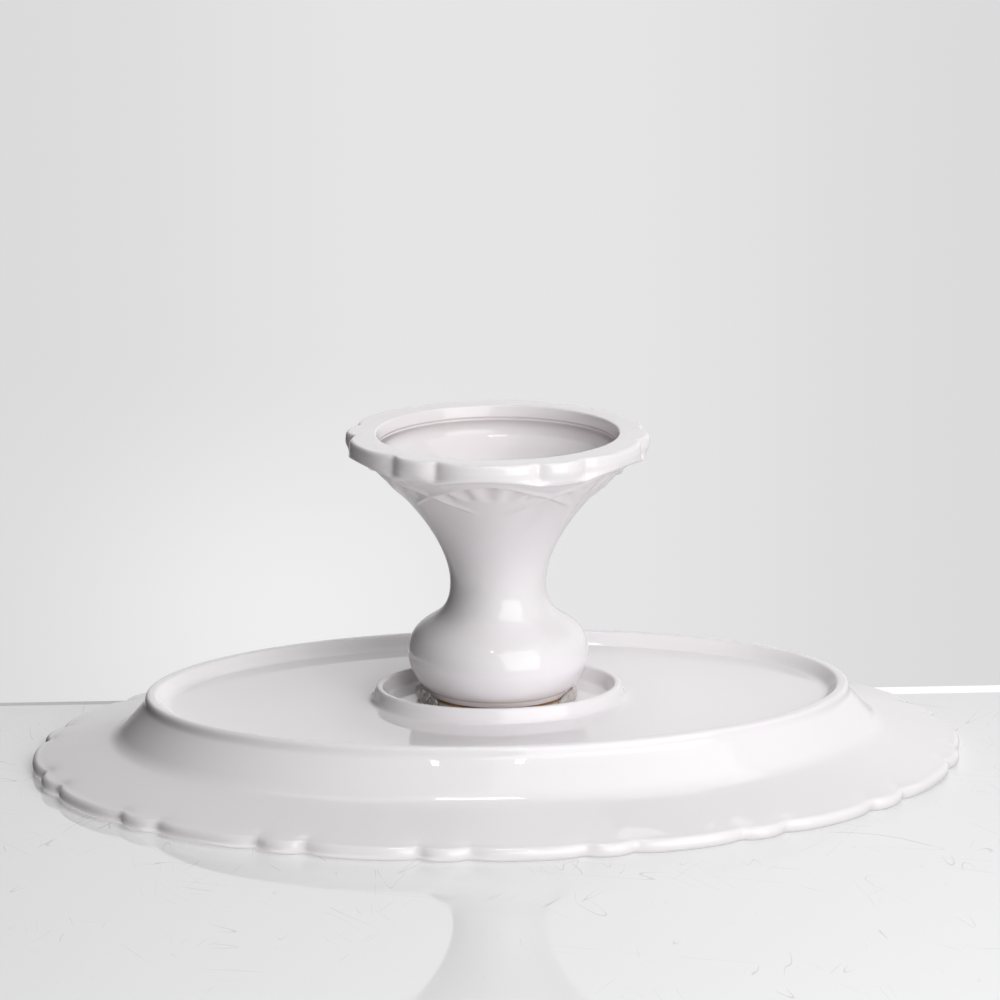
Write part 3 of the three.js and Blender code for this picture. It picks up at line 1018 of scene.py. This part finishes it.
def makeCamera():
    v = photo
    data = bpy.data.cameras.new("camera")
    data.sensor_width = 36
    data.lens = data.sensor_width * v["focal"] / v["frame"]
    camera = bpy.data.objects.new("camera", data)
    bpy.context.scene.collection.objects.link(camera)
    level = Matrix.Rotation(math.pi / 2 - math.radians(v["tilt"]), 3, "X")
    roll = Matrix.Rotation(math.radians(v["roll"]), 3, "Z")
    pan = Matrix.Rotation(-math.radians(v["pan"]), 3, "Z")
    turned = turnFromPhoto() @ pan @ level @ roll
    eye = Matrix.Translation(fromPhoto(v["right"], v["away"], v["up"]))
    camera.matrix_world = eye @ turned.to_4x4()
    bpy.context.scene.camera = camera


# The stage: two sheets that each show from one side only and leave the light on the stand alone

stage = {
    "sheet": (0.93, 0.93, 0.93),
    "floor": (0.9, 0.9, 0.9),
    "backEdge": 69,  # from the plate's middle back to the acrylic's far edge
    "backEdgeTurn": 2.6,  # degrees
    "edgeLit": 8.5,  # width of the glowing painted highlight along that edge
    # width of the painted shade along that edge
    "edgeDark": 4.5,
    # the glow of the painted highlight and the colour of the painted shade on that edge
    "paintedEdgeGlow": (0.72, 0.72, 0.72),
    "paintedEdgeShade": (0.2, 0.2, 0.2),
    # fine scratches: how each lot is turned, in degrees, and how dense it is, per metre
    "scratches": [(88, 21), (62, 16), (124, 17), (20, 13)],
    "scratchStretch": 0.12,
    "scratchWidth": (0.006, 0.002),
    "scratchShade": 0.28,
    "crumbScale": 40,  # of small dark crumbs, per metre
    "crumbShade": 0.35,
    "mark": (0.30, 0.30, 0.30),
    "worn": 0.07,  # how many more scratches there are where the plate's edge was set down
    "acrylicHalf": 2600,
    "acrylicGap": 0.05,  # below the plate's rim
    "floorHalf": 4000,
    "floorGap": 0.05,
}


def oneSided(s, surface):
    # clear from behind
    clear = s.node("ShaderNodeBsdfTransparent")
    backface = s.node("ShaderNodeNewGeometry", output=6)
    return s.node("ShaderNodeMixShader", {}, [backface, surface, clear])


def acrylicShader():
    # glossy and white, with fine scratches, some short dark marks, and along the far edge a glowing
    # painted highlight and painted shade
    s = Shader("acrylic")
    place = s.place()
    x, y = s.parts(place)[:2]
    endwise, sidewise = x / cadBox[1].x, y / cadBox[1].y
    fromMiddle = (endwise.sum("POWER", 2) + sidewise.sum("POWER", 2)).sum("SQRT")
    worn = fromMiddle.ramp(1.5, 1.05) * stage["worn"]
    marks = 0
    for turn, dense in stage["scratches"]:
        inputs = {
            "Vector": place,
            "Rotation": (0, 0, math.radians(turn)),
            "Scale": (1, stage["scratchStretch"], 1),
        }
        turned = s.node("ShaderNodeMapping", {"vector_type": "TEXTURE"}, inputs)
        fromLine = (s.cloud(turned, dense, 0) - 0.5).sum("ABSOLUTE")
        patches = (s.cloud(place, 2.7 * dense, 1) + worn).ramp(0.60, 0.70)
        marks = fromLine.ramp(*stage["scratchWidth"]) * patches + marks
    far, own = s.cells(place, stage["crumbScale"])
    crumbs = far.ramp(0.04, 0.02) * own.ramp(0.86, 0.88)
    shade = (marks * stage["scratchShade"] + crumbs * stage["crumbShade"]).least(1)
    colour = s.blend(shade, stage["sheet"], stage["mark"])

    # how far in from the far edge, in metres
    turn = math.radians(stage["backEdgeTurn"])
    across = fromPhoto(0, 1, 0) - fromPhoto(0, 0, 0)
    along = fromPhoto(1, 0, 0) - fromPhoto(0, 0, 0)
    away = (across * math.cos(turn) - along * math.sin(turn)) / mm
    inward = stage["backEdge"] * math.cos(turn) * mm - (x * away.x + y * away.y)
    side = x * along.x / mm + y * along.y / mm
    litWidth, darkWidth = stage["edgeLit"], stage["edgeDark"]
    # a glowing painted highlight along one stretch of the far edge, with a dimmer line in it, and
    # painted shade along the rest
    lit = inward.ramp(litWidth * mm, litWidth * 0.93 * mm) * side.ramp(-0.02, 0.02)
    lit = lit * (1 - inward.ramp(0.0042, 0.0046) * inward.ramp(0.0054, 0.005) * 0.4)
    dark = inward.ramp(darkWidth * mm, darkWidth * 0.7 * mm) * side.ramp(0.02, -0.02)
    colour = s.blend((dark * 0.55 + lit).least(1), colour, stage["paintedEdgeShade"])
    inputs = {
        "Base Color": colour,
        "Roughness": s.cloud(place, 30, 6) * 0.05 + 0.015,
        "Emission Color": s.blend(lit, (0, 0, 0), stage["paintedEdgeGlow"]),
        "Emission Strength": 1,
        "IOR": 1.49,
    }
    return s.finish(oneSided(s, s.node("ShaderNodeBsdfPrincipled", {}, inputs)))


def floorShader():
    s = Shader("paleFloor")
    place = s.place()
    tone = s.cloud(place, 3, 2).ramp(0.3, 0.7)
    darker = tuple(0.96 * c for c in stage["floor"])
    colour = s.blend(tone * 0.2, stage["floor"], darker)
    inputs = {"Base Color": colour, "Roughness": 0.45, "IOR": 1.4}
    return s.finish(oneSided(s, s.node("ShaderNodeBsdfPrincipled", {}, inputs)))


def sheet(name, corners, material):
    # a flat stage sheet; its corners run anticlockwise on the side that shows
    mesh = bpy.data.meshes.new(name)
    mesh.from_pydata([tuple(corner) for corner in corners], [], [tuple(range(len(corners)))])
    made = bpy.data.objects.new(name, mesh)
    bpy.context.scene.collection.objects.link(made)
    mesh.materials.append(material)
    made.visible_diffuse = False
    made.visible_glossy = False
    made.visible_transmission = False
    made.visible_shadow = False


def makeStage():
    # the acrylic under the plate's rim, as in the photograph
    far, back = stage["acrylicHalf"], stage["backEdge"]
    lean = far * math.tan(math.radians(stage["backEdgeTurn"]))
    corners = [(-far, -far), (far, -far), (far, back + lean), (-far, back - lean)]
    acrylic = [fromPhoto(*corner, -stage["acrylicGap"]) for corner in corners]
    sheet("acrylicSheet", acrylic, acrylicShader())
    # the floor under the foot, for views from above
    far = stage["floorHalf"] * mm
    low = -stage["floorGap"] * mm
    floor = [(-far, -far, low), (far, -far, low), (far, far, low), (-far, far, low)]
    sheet("paleFloor", floor, floorShader())


# Light. Directions are those of the photograph: azimuth 0 towards the camera, 90 to its right.

light = {
    "aimHeight": 40,  # of the middle of the stand in the photograph
    "ambient": 0.01,
    "front": 0.47,
    "right": 0.14,
    "behind": 1.0,  # the lit backdrop
    "behindLow": 0.66,
    "below": 0.52,  # seen only by the stand upright, from above
    "backdrop": 0.71,
    # name, azimuth and elevation, distance, size, and the brightness of its own face
    "lamps": [
        ("keyBox", (31, 26), 900, (760, 1040), 2.72),
        ("topPanel", (115, 76), 1100, (1700, 900), 1.0),
        ("smallLampAbove", (178, 84), 1500, (225, 240), 8),
        ("smallLampLeft", (-12.4, 60.6), 1500, (36, 160), 16),
        ("smallLampRight", (15.7, 60.6), 1500, (36, 160), 16),
        ("uprightKey", (-40, -55), 1100, (800, 800), 1.6),
    ],
}


def softBox(name, at, away, size, level):
    # a lit panel that faces the stand from a direction of the photograph
    azimuth, elevation = (math.radians(turn) for turn in at)
    aim = light["aimHeight"]
    reach = away * math.cos(elevation)
    height = aim + away * math.sin(elevation)
    spot = fromPhoto(reach * math.sin(azimuth), -reach * math.cos(azimuth), height)
    data = bpy.data.lights.new(name, "AREA")
    data.shape = "RECTANGLE"
    data.size, data.size_y = (side * mm for side in size)
    data.energy = level * math.pi * data.size * data.size_y
    panel = bpy.data.objects.new(name, data)
    bpy.context.scene.collection.objects.link(panel)
    panel.location = spot
    panel.rotation_euler = (fromPhoto(0, 0, aim) - spot).to_track_quat("-Z", "Y").to_euler()


def makeWorld():
    # the studio round the stand, by direction; right, away and up are the photograph's
    world = bpy.data.worlds.new("studio")
    bpy.context.scene.world = world
    s = Shader("studio", world)
    x, y, z = s.parts(s.node("ShaderNodeTexCoord", output=0))
    turn = math.radians(photo["plateYaw"])
    right = x * -math.cos(turn) - y * math.sin(turn)
    away = y * math.cos(turn) - x * math.sin(turn)
    up = z * -1
    around = up.ramp(0.85, 0.35) * up.ramp(-0.7, -0.3)
    front = away.ramp(-0.1, -0.9) * right.ramp(-0.75, 0.15)
    tone = around * (front * light["front"] + right.ramp(0.1, 0.9) * light["right"])
    behind = up.ramp(0.95, 0.45) * away.ramp(0.25, 0.9) * right.ramp(-0.55, -0.05)
    risen = up.ramp(-0.2, 0.08) * (light["behind"] - light["behindLow"]) + light["behindLow"]
    tone = tone + around * behind * risen
    tone = tone + up.ramp(-0.3, -0.7) * light["below"] + light["ambient"]
    lit = s.node("ShaderNodeBackground", {}, {"Color": (1, 1, 1, 1), "Strength": tone})

    # the backdrop is brightest in the middle of the picture and low on its left
    middle = right.sum("ABSOLUTE").ramp(0.13, 0.02)
    leftOf = (right + 0.066).sum("ABSOLUTE").ramp(0.09, 0.0)
    low = leftOf * (up + 0.27).sum("ABSOLUTE").ramp(0.07, 0.0)
    strength = light["backdrop"] + middle * 0.075 + low * 0.1
    shown = s.node("ShaderNodeBackground", {}, {"Color": (1, 1, 1, 1), "Strength": strength})
    seenByCamera = s.node("ShaderNodeLightPath")
    s.finish(s.node("ShaderNodeMixShader", {}, [seenByCamera, lit, shown]))


def makeLight():
    for lamp in light["lamps"]:
        softBox(*lamp)
    makeWorld()


makeCamera()
makeStage()
makeLight()
bpy.context.scene.view_settings.view_transform = "Standard"
print("camera, stage and light ready")
